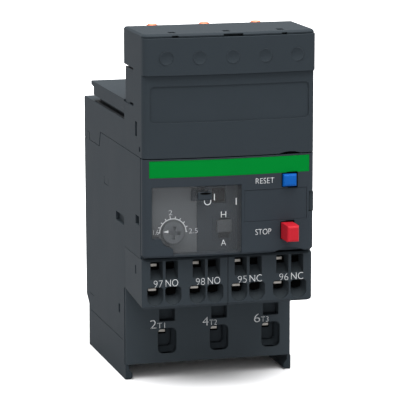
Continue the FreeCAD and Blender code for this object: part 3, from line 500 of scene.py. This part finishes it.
def block(bm, low, high, bevel):
    # a block between two corners in millimetres, its edges rounded
    low, high = Vector(low), Vector(high)
    place = Matrix.Translation((low + high) / 2 * mm) @ Matrix.Diagonal((*((high - low) * mm), 1))
    made = bmesh.ops.create_cube(bm, size=1, matrix=place)
    edges = list({edge for vert in made["verts"] for edge in vert.link_edges})
    bmesh.ops.bevel(bm, geom=edges, offset=bevel * mm, affect="EDGES", segments=3, profile=0.5,
                    material=-1)


def upright(bm, place, look, front, rear):
    # a block that faces the front, its sides given from a place
    block(bm, (place.x + look["x"][0], front, place.z + look["z"][0]),
          (place.x + look["x"][1], rear, place.z + look["z"][1]), look["bevel"])


def outline(bm, size, corner):
    # an upright face with its middle at the origin, rounded above and below
    width, height = size
    bmesh.ops.create_grid(bm, x_segments=1, y_segments=1, size=0.5)
    bmesh.ops.scale(bm, verts=bm.verts, vec=(width * mm, height * mm, 1))
    standUp(bm)
    for radius, upper in zip(corner, (True, False)):
        ends = [vert for vert in bm.verts if (vert.co.z > 0) == upper]
        bmesh.ops.bevel(bm, geom=ends, offset=radius * mm, affect="VERTICES", segments=8, profile=0.5,
                        material=-1)


# printing: flat words and lines, a hair proud of the surface that they follow

words = {"thick": 0.03, "weight": -0.016, "arcStep": 6}  # millimetres, font offset, degrees


def glyphs(text, height, width, weight=None):
    # a word as an upright mesh with its middle at the origin
    curve = bpy.data.curves.new("word", "FONT")
    curve.body = text
    curve.resolution_u = 4
    curve.offset = words["weight"] if weight is None else weight
    holder = bpy.data.objects.new("word", curve)
    bm = bmesh.new()
    bm.from_mesh(bpy.data.meshes.new_from_object(holder))
    bpy.data.objects.remove(holder)
    across = [vert.co.x for vert in bm.verts]
    up = [vert.co.y for vert in bm.verts]
    wide, tall = max(across) - min(across), max(up) - min(up)
    centre = Vector(((max(across) + min(across)) / 2, (max(up) + min(up)) / 2, 0))
    bmesh.ops.translate(bm, verts=bm.verts, vec=-centre)
    bmesh.ops.scale(bm, verts=bm.verts, vec=(width * mm / wide, height * mm / tall, 1))
    standUp(bm)
    return bm


def strip(bm, x, bottom, wide, tall, turn=0.0, about=None):
    # a flat bar that stands on its bottom, turned about a point where one is given
    left, right, top = x - wide / 2, x + wide / 2, bottom + tall
    ends = ((left, bottom), (right, bottom), (right, top), (left, top))
    verts = [bm.verts.new((across * mm, 0, up * mm)) for across, up in ends]
    bm.faces.new(verts)
    if about:
        bmesh.ops.rotate(bm, verts=verts, cent=(about[0] * mm, 0, about[1] * mm),
                         matrix=Matrix.Rotation(math.radians(turn), 3, "Y"))


def arc(bm, x, z, radius, wide, start, sweep):
    # a flat band round a point, from a start angle above +X
    inner = bm.verts.new(((x + radius - wide / 2) * mm, 0, z * mm))
    outer = bm.verts.new(((x + radius + wide / 2) * mm, 0, z * mm))
    edge = bm.edges.new((inner, outer))
    centre = Vector((x, 0, z)) * mm
    bmesh.ops.rotate(bm, verts=[inner, outer], cent=centre,
                     matrix=Matrix.Rotation(math.radians(-start), 3, "Y"))
    bmesh.ops.spin(bm, geom=[inner, outer, edge], cent=centre, axis=(0, 1, 0),
                   angle=math.radians(-sweep), steps=sweep // words["arcStep"],
                   use_merge=sweep == 360)


def lay(bm, surface, thick=None):
    # gives flat print its thickness and drapes it over a surface, given as a depth for each x
    thick = words["thick"] if thick is None else thick
    made = bmesh.ops.extrude_face_region(bm, geom=bm.faces[:])
    moved = [item for item in made["geom"] if isinstance(item, bmesh.types.BMVert)]
    bmesh.ops.translate(bm, verts=moved, vec=(0, -2 * thick * mm, 0))
    for vert in bm.verts:
        vert.co.y += (thick + surface(vert.co.x / mm)) * mm
    bmesh.ops.recalc_face_normals(bm, faces=bm.faces)
    return bm


def word(name, text, height, width, x, z, surface, body, weight=None):
    bm = glyphs(text, height, width, weight)
    move(bm, x=x, z=z)
    addPiece(name, lay(bm, surface), "padPrint", body)


# words on the front panel, placed from the buttons that they name

buttonWords = {
    "reset": {"text": "RESET", "height": 1.39, "width": 4.93, "gap": 1.77, "rise": 2.195},
    "stop": {"text": "STOP", "height": 1.45, "width": 4.22, "gap": 2.21, "rise": 2.51},
}


def makeButtonWords():
    for name, look in buttonWords.items():
        low = corners(name + "_button")[0]
        x = low.x - look["gap"] - look["width"] / 2
        word(name + "Word", look["text"], look["height"], look["width"], x, low.z + look["rise"],
             frontAt, "housing")


# marks on the clear cover: letters placed from the selector, lines from the cover's top right corner

coverMarks = {
    "lift": 0.04,
    "letterHeight": 1.50,
    "letterWidth": 1.35,
    "letterShift": -0.15,
    "letterRise": {"H": 3.25, "A": -4.00},
    "lineWide": 0.20,
    "bars": ({"x": -7.00, "z": -4.30, "tall": 1.65}, {"x": -1.30, "z": -5.70, "tall": 1.75}),
    "bowl": {"x": -8.75, "z": -4.55, "radius": 0.82, "sides": 0.35},
}


def coverAt(x):
    return frontAt(x) + coverMarks["lift"]


def makeCoverMarks():
    look = coverMarks
    knob = middle("selector_knob")
    for letter, rise in look["letterRise"].items():
        word("mark" + letter, letter, look["letterHeight"], look["letterWidth"],
             knob.x + look["letterShift"], knob.z + rise, coverAt, "window")
    corner = corners("window_cover")[1]
    for index, bar in enumerate(look["bars"]):
        bm = bmesh.new()
        strip(bm, corner.x + bar["x"], corner.z + bar["z"], look["lineWide"], bar["tall"])
        addPiece("markBar" + str(index + 1), lay(bm, coverAt), "padPrint", "window")
    bowl = look["bowl"]
    x, z = corner.x + bowl["x"], corner.z + bowl["z"]
    bm = bmesh.new()
    arc(bm, x, z, bowl["radius"], look["lineWide"], 180, 180)
    for side in (-1, 1):
        strip(bm, x + side * bowl["radius"], z, look["lineWide"], bowl["sides"])
    addPiece("markBowl", lay(bm, coverAt), "padPrint", "window")


# current scale round the setting dial

scale = {
    "radius": 3.42,
    "line": 0.26,
    "steps": 9,
    "longStep": 4,
    "tickLine": 0.221,
    "tick": 0.62,
    "longTick": 0.80,
    "foot": 0.45,
    "figures": {
        "1.6": {"x": -4.42, "z": 0.18, "width": 1.42, "height": 1.22},
        "2": {"x": -0.62, "z": 5.05, "width": 0.98, "height": 1.26},
        "2.5": {"x": 5.35, "z": 0.10, "width": 2.30, "height": 1.25},
    },
    "seat": {"radius": 3.17, "wide": 0.30, "thick": 0.05},
    "pointer": {"tip": 2.75, "root": 1.40, "wide": 0.72, "rise": 0.35},
}


def makeScale():
    look = scale
    dial = middle("setting_dial")
    plate = flatAt(corners("scale_plate")[0].y)
    bm = bmesh.new()
    arc(bm, dial.x, dial.z, look["radius"], look["line"], 0, 180)
    for step in range(1, look["steps"]):
        tall = look["longTick"] if step == look["longStep"] else look["tick"]
        turn = 180 / look["steps"] * step - 90
        strip(bm, dial.x, dial.z + look["radius"], look["tickLine"], tall, turn, (dial.x, dial.z))
    for side in (-1, 1):
        x = dial.x + side * (look["radius"] - look["line"] / 2 + look["foot"] / 2)
        strip(bm, x, dial.z - look["line"] / 2, look["foot"], look["line"])
    addPiece("scaleLine", lay(bm, plate), "padPrint", "housing")
    for index, (text, place) in enumerate(look["figures"].items()):
        word("scaleFigure" + str(index + 1), text, place["height"], place["width"],
             dial.x + place["x"], dial.z + place["z"], plate, "housing")

    seat = look["seat"]
    bm = bmesh.new()
    arc(bm, dial.x, dial.z, seat["radius"], seat["wide"], 0, 360)
    addPiece("dialSeat", lay(bm, plate, seat["thick"]), "scaleGrey", "housing")

    pointer = look["pointer"]
    half = pointer["wide"] / 2
    bm = bmesh.new()
    tip = bm.verts.new((-pointer["tip"] * mm, 0, 0))
    lower, upper = (bm.verts.new((-pointer["root"] * mm, 0, up * mm)) for up in (-half, half))
    bm.faces.new((tip, lower, upper))
    move(bm, x=dial.x, z=dial.z + pointer["rise"])
    addPiece("dialPointer", lay(bm, flatAt(corners("setting_dial")[0].y)), "padPrint", "dial")


# terminal markings, each placed from its terminal's busbar or pin

terminalWords = {
    "control": {"97": "NO", "98": "NO", "95": "NC", "96": "NC"},
    "number": {"x": -1.60, "z": 6.52, "height": 1.78, "width": 2.35, "weight": -0.026},
    "letters": {"x": 1.98, "z": 6.60, "height": 1.80, "width": 3.25, "weight": -0.016},
    "power": (("2", "T1"), ("4", "T2"), ("6", "T3")),
    "digit": {"x": -3.72, "z": 10.43, "height": 2.30, "width": 1.65, "weight": -0.016},
    "pair": {"x": -1.62, "z": 10.00, "height": 1.42, "width": 2.05, "weight": -0.016},
}


def terminalWord(name, text, look, x, low):
    word(name, text, look["height"], look["width"], x + look["x"], low.z + look["z"], flatAt(low.y),
         "housing", look["weight"])


def makeTerminalWords():
    look = terminalWords
    low = corners("control_block_no")[0]
    for number, letters in look["control"].items():
        x = middle("busbar_" + number).x
        terminalWord("number" + number, number, look["number"], x, low)
        terminalWord("letters" + number, letters, look["letters"], x, low)
    low = corners("power_block")[0]
    for index, (digit, pair) in enumerate(look["power"]):
        x = middle("pole_pin_" + str(index + 1)).x
        terminalWord("power" + digit, digit, look["digit"], x, low)
        terminalWord("power" + pair, pair, look["pair"], x, low)


# terminal ducts: moulded guides that lead a wire or a driver to its clamp

ducts = {
    "wall": 0.12,
    "inset": 0.04,
    "pairGap": 2.35,
    "driverIn": 0.375,
    "wire": {"size": (4.20, 4.77), "sill": 0.84, "corner": (0.6, 1.95), "depths": (0.7, 2.0, 1.4),
             "narrow": (0.74, 0.52), "lean": (-0.10, 0.75), "finish": "ductPlastic"},
    "driver": {"size": (3.22, 4.77), "sill": 7.57, "corner": (0.15, 0.25), "depths": (0.5, 2.9, 0.8),
               "narrow": (0.92, 0.60), "lean": (-0.10, 0.92), "finish": "ductPlastic"},
    "powerWire": {"size": (5.0, 6.7), "sill": 2.5, "corner": (1.35, 1.35), "depths": (1.6, 1.3, 1.3),
                  "narrow": (0.80, 0.80), "lean": (-0.20, 0.60), "finish": "powerDuct"},
    "powerDriver": {"size": (4.2, 3.2), "sill": 11.1, "corner": (0.3, 0.3), "depths": (1.2, 0.8, 0.5),
                    "narrow": (0.97, 0.95), "lean": (0.0, 0.0), "finish": "powerDuct"},
}


def duct(name, kind, x, front, floor):
    # a funnel behind its opening: a straight mouth, a tapered throat and a blind end
    look = ducts[kind]
    bm = bmesh.new()
    outline(bm, look["size"], look["corner"])
    end = bm.faces[:]
    for step, depth in enumerate(look["depths"]):
        made = bmesh.ops.extrude_face_region(bm, geom=end)
        bmesh.ops.delete(bm, geom=end, context="FACES_ONLY")
        end = [item for item in made["geom"] if isinstance(item, bmesh.types.BMFace)]
        verts = [item for item in made["geom"] if isinstance(item, bmesh.types.BMVert)]
        bmesh.ops.translate(bm, verts=verts, vec=(0, depth * mm, 0))
        if step == 1:
            centre = sum((vert.co for vert in verts), Vector()) / len(verts)
            across, up = look["narrow"]
            bmesh.ops.scale(bm, verts=verts, vec=(across, 1, up), space=Matrix.Translation(-centre))
            across, up = look["lean"]
            bmesh.ops.translate(bm, verts=verts, vec=(across * mm, 0, up * mm))
    bmesh.ops.recalc_face_normals(bm, faces=bm.faces)
    bmesh.ops.solidify(bm, geom=bm.faces[:], thickness=-ducts["wall"] * mm)
    move(bm, x, front + ducts["inset"], floor + look["sill"] + look["size"][1] / 2)
    bmesh.ops.recalc_face_normals(bm, faces=bm.faces)
    addPiece(name, bm, look["finish"], "housing")


# contact strips: the bright ends of the clamp springs, above the dark ways into the clamps, which are
# black plates of painted shade

strips = {
    "thick": 0.35,
    "bevel": 0.12,
    "wire": {"x": (-1.60, 0.55), "drop": 0.42, "tall": 0.66, "depth": 1.3, "mouth": (2.6, 1.7)},
    "driver": {"x": (-0.90, 0.80), "drop": 1.10, "tall": 0.78, "depth": 3.0, "mouth": (2.3, 1.5)},
    "powerWire": {"x": (-1.75, 0.00), "drop": 0.72, "tall": 0.75, "depth": 2.2, "mouth": (2.0, 1.15)},
    "mouthDrop": 0.1,
    "mouthThick": 0.20,
    "mouthBevel": 0.08,
}


def stripTop(kind, floor):
    return floor + ducts[kind]["sill"] + ducts[kind]["size"][1] - strips[kind]["drop"]


def contactStrip(name, kind, x, front, floor):
    look = strips[kind]
    left, right = look["x"]
    top = stripTop(kind, floor)
    depth = front + look["depth"]
    bm = bmesh.new()
    block(bm, (x + left, depth, top - look["tall"]), (x + right, depth + strips["thick"], top),
          strips["bevel"])
    addPiece(name, bm, "stripMetal", "housing")


# painted shade: a black plate below the strip standing for the shaded way into the clamp
def clampMouthShade(name, kind, x, front, floor):
    look = strips[kind]
    width, height = look["mouth"]
    left = x + look["x"][0]
    top = stripTop(kind, floor) - strips["mouthDrop"]
    depth = front + look["depth"] + strips["thick"]
    bm = bmesh.new()
    block(bm, (left, depth, top - height), (left + width, depth + strips["mouthThick"], top),
          strips["mouthBevel"])
    addPiece(name, bm, "paintedGapShade", "housing")


def makeDucts():
    low = corners("control_block_no")[0]
    for number in terminalWords["control"]:
        module = middle("busbar_" + number).x
        for side, label in ((-1, "Left"), (1, "Right")):
            for kind, inward in (("wire", 0), ("driver", ducts["driverIn"])):
                x = module + side * (ducts["pairGap"] - inward)
                duct(kind + "Duct" + number + label, kind, x, low.y, low.z)
                clampMouthShade(kind + "MouthShade" + number + label, kind, x, low.y, low.z)
                if label == "Left":
                    contactStrip(kind + "Strip" + number, kind, x, low.y, low.z)
    low = corners("power_block")[0]
    for index in ("1", "2", "3"):
        pole = middle("pole_pin_" + index).x
        for kind in ("powerWire", "powerDriver"):
            duct(kind + "Duct" + index, kind, pole, low.y, low.z)
        clampMouthShade("powerMouthShade" + index, "powerWire", pole, low.y, low.z)
        contactStrip("powerStrip" + index, "powerWire", pole, low.y, low.z)


# the selector in its slot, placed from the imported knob

selector = {
    "guide": {"x": (-2.00, 2.85), "z": (-4.125, 2.325), "thick": 0.12, "bevel": 0.05},
    "slot": {"x": (-0.48, 2.38), "z": (-3.575, 1.575), "proud": 0.03, "sunk": 0.05, "bevel": 0.02},
    "cap": {"x": (-1.33, 2.67), "z": (-1.795, 1.375), "deep": 0.95, "bevel": 0.28},
    "stem": {"inset": 0.45, "behind": 0.5, "clearance": 0.04, "bevel": 0.1},
}


def makeSelector():
    knob = middle("selector_knob")
    floor = corners("scale_plate")[1].y
    guide = selector["guide"]
    guideFront = floor - guide["thick"]
    bm = bmesh.new()
    upright(bm, knob, guide, guideFront, floor)
    addPiece("selectorGuide", bm, "wellPlastic", "housing")
    # painted shade: a dark plate on the guide where the slot's opening lies in shade
    slot = selector["slot"]
    bm = bmesh.new()
    upright(bm, knob, slot, guideFront - slot["proud"], guideFront + slot["sunk"])
    addPiece("selectorSlotShade", bm, "paintedSlotShade", "housing")

    cap, stem = selector["cap"], selector["stem"]
    front = corners("selector_knob")[0].y
    inner = {
        "x": (cap["x"][0] + stem["inset"], cap["x"][1] - stem["inset"]),
        "z": (cap["z"][0] + stem["inset"], cap["z"][1] - stem["inset"]),
        "bevel": stem["bevel"],
    }
    bm = bmesh.new()
    upright(bm, knob, cap, front, front + cap["deep"])
    upright(bm, knob, inner, front + stem["behind"], guideFront - stem["clearance"])
    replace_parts(addPiece("selectorCap", bm, "knobGrey", "selector"), "selector_knob")


# the test slide: a hooked cap in front, a neck behind it and the slide's own body

testSlide = {
    "cap": {"x": (-0.925, 2.825), "z": (-0.90, 1.23), "bevel": 0.34},
    "proud": 0.45,
    "deep": 0.75,
    "neck": {"left": 0.55, "right": 0.2, "shoulder": 0.3, "sunk": 0.5, "bevel": 0.1},
    "bodyBevel": 0.15,
    "hollow": {"x": 1.075, "z": 0.85, "size": (1.42, 0.30)},
}


def makeTestSlide():
    low, high = corners("test_slider")
    centre = middle("test_slider")
    cap, neck = testSlide["cap"], testSlide["neck"]
    front = frontAt(centre.x + sum(cap["x"]) / 2) - testSlide["proud"]
    bottom, top = (centre.z + edge for edge in cap["z"])
    shoulder = neck["shoulder"]
    bm = bmesh.new()
    upright(bm, centre, cap, front, front + testSlide["deep"])
    block(bm, (centre.x + cap["x"][0] + neck["left"], front + shoulder, bottom + shoulder),
          (high.x - neck["right"], low.y + neck["sunk"], top - shoulder), neck["bevel"])
    block(bm, low, high, testSlide["bodyBevel"])
    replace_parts(addPiece("testHook", bm, "slideGrey", "test"), "test_slider")

    # painted shadow: a flat black oval on the cap's front where the hook's hollow lies in shade
    hollow = testSlide["hollow"]
    wide, tall = hollow["size"]
    bm = bmesh.new()
    bmesh.ops.create_circle(bm, cap_ends=True, segments=32, radius=1)
    bmesh.ops.scale(bm, verts=bm.verts, vec=(wide * mm, tall * mm, 1))
    standUp(bm)
    move(bm, x=centre.x + hollow["x"], z=centre.z + hollow["z"])
    addPiece("testHollowShade", lay(bm, flatAt(front)), "paintedGapShade", "test")


# painted shadow gaps round the two buttons: black rings a hair proud of the panel

buttonShadowGaps = {
    "size": {"reset": (3.55, 3.15), "stop": (3.10, 4.10)},
    "flange": 0.5,
    "gap": 0.95,
    "play": 0.06,
    "corner": (0.2, 0.2),
    "deep": 0.5,
    "proud": 0.03,
}


def makeButtonShadowGaps():
    look = buttonShadowGaps
    for name, (wide, tall) in look["size"].items():
        bm = bmesh.new()
        outline(bm, (wide + look["gap"], tall + look["gap"]), look["corner"])
        rim = (look["gap"] - look["play"]) / 2
        bmesh.ops.inset_region(bm, faces=bm.faces[:], thickness=rim * mm, use_boundary=True,
                               use_even_offset=True)
        inner = max(bm.faces, key=lambda item: len(item.verts))
        bmesh.ops.delete(bm, geom=[inner], context="FACES")
        made = bmesh.ops.extrude_face_region(bm, geom=bm.faces[:])
        moved = [item for item in made["geom"] if isinstance(item, bmesh.types.BMVert)]
        bmesh.ops.translate(bm, verts=moved, vec=(0, look["deep"] * mm, 0))
        x = middle(name + "_button").x
        z = corners(name + "_button")[0].z + look["flange"] + tall / 2
        move(bm, x, frontAt(x) - look["proud"], z)
        bmesh.ops.recalc_face_normals(bm, faces=bm.faces)
        addPiece(name + "ShadowRing", bm, "paintedGapShade", "housing")


# shallow dishes in the cover strip

dishes = {
    "count": 5,
    "shift": 0.30,
    "pitch": 8.5,
    "rise": 4.35,
    "radius": 1.80,
    "deep": 0.42,
    "thick": 0.06,
}


def makeDishes():
    look = dishes
    plate = corners("cover_strip")[0]
    radius, deep = look["radius"] * mm, look["deep"] * mm
    bend = (radius ** 2 + deep ** 2) / (2 * deep)
    reach = math.asin(radius / bend)
    for index in range(look["count"]):
        bm = bmesh.new()
        start = bm.verts.new((0, deep, 0))
        bmesh.ops.spin(bm, geom=[start], cent=(0, deep - bend, 0), axis=(0, 0, 1), angle=reach, steps=10)
        bmesh.ops.spin(bm, geom=bm.verts[:] + bm.edges[:], cent=(0, 0, 0), axis=(0, 1, 0),
                       angle=2 * math.pi, steps=48, use_merge=True)
        bmesh.ops.remove_doubles(bm, verts=bm.verts, dist=weld)
        bmesh.ops.recalc_face_normals(bm, faces=bm.faces)
        bmesh.ops.solidify(bm, geom=bm.faces[:], thickness=look["thick"] * mm)
        x = look["shift"] + look["pitch"] * (index - (look["count"] - 1) / 2)
        move(bm, x, plate.y + frontAt(x) - frontAt(0), plate.z + look["rise"])
        bmesh.ops.recalc_face_normals(bm, faces=bm.faces)
        addPiece("coverDish" + str(index + 1), bm, "housingPlastic", "housing", smooth=True)


# painted shade: dark strips on the deck in the channel under the shelf on both sides, where the shelf
# shades the deck

channelShading = {
    "edge": 0.2,
    "wide": 1.25,
    "front": 0.9,
    "rear": 3.45,
    "drop": 1.7,
    "tall": (-0.02, 0.3),
    "bevel": 0.1,
}


def makeChannelShading():
    low, high = corners("shelf_plate")
    bottom, top = (low.z - channelShading["drop"] + rise for rise in channelShading["tall"])
    outer = high.x - channelShading["edge"]
    inner = outer - channelShading["wide"]
    for label, left, right in (("Left", -outer, -inner), ("Right", inner, outer)):
        bm = bmesh.new()
        block(bm, (left, low.y + channelShading["front"], bottom), (right, high.y - channelShading["rear"], top),
              channelShading["bevel"])
        addPiece("channelShade" + label, bm, "paintedSlotShade", "housing")


makeStudio()
print("studio ready")
materials = makeMaterials()
finishNodes()
print("materials ready")
makeButtonWords()
makeCoverMarks()
makeScale()
makeTerminalWords()
print("lettering ready")
makeDucts()
print("terminal ducts ready")
makeSelector()
makeTestSlide()
print("selector and test slide ready")
makeButtonShadowGaps()
makeDishes()
makeChannelShading()
print("collars, dishes and seals ready")
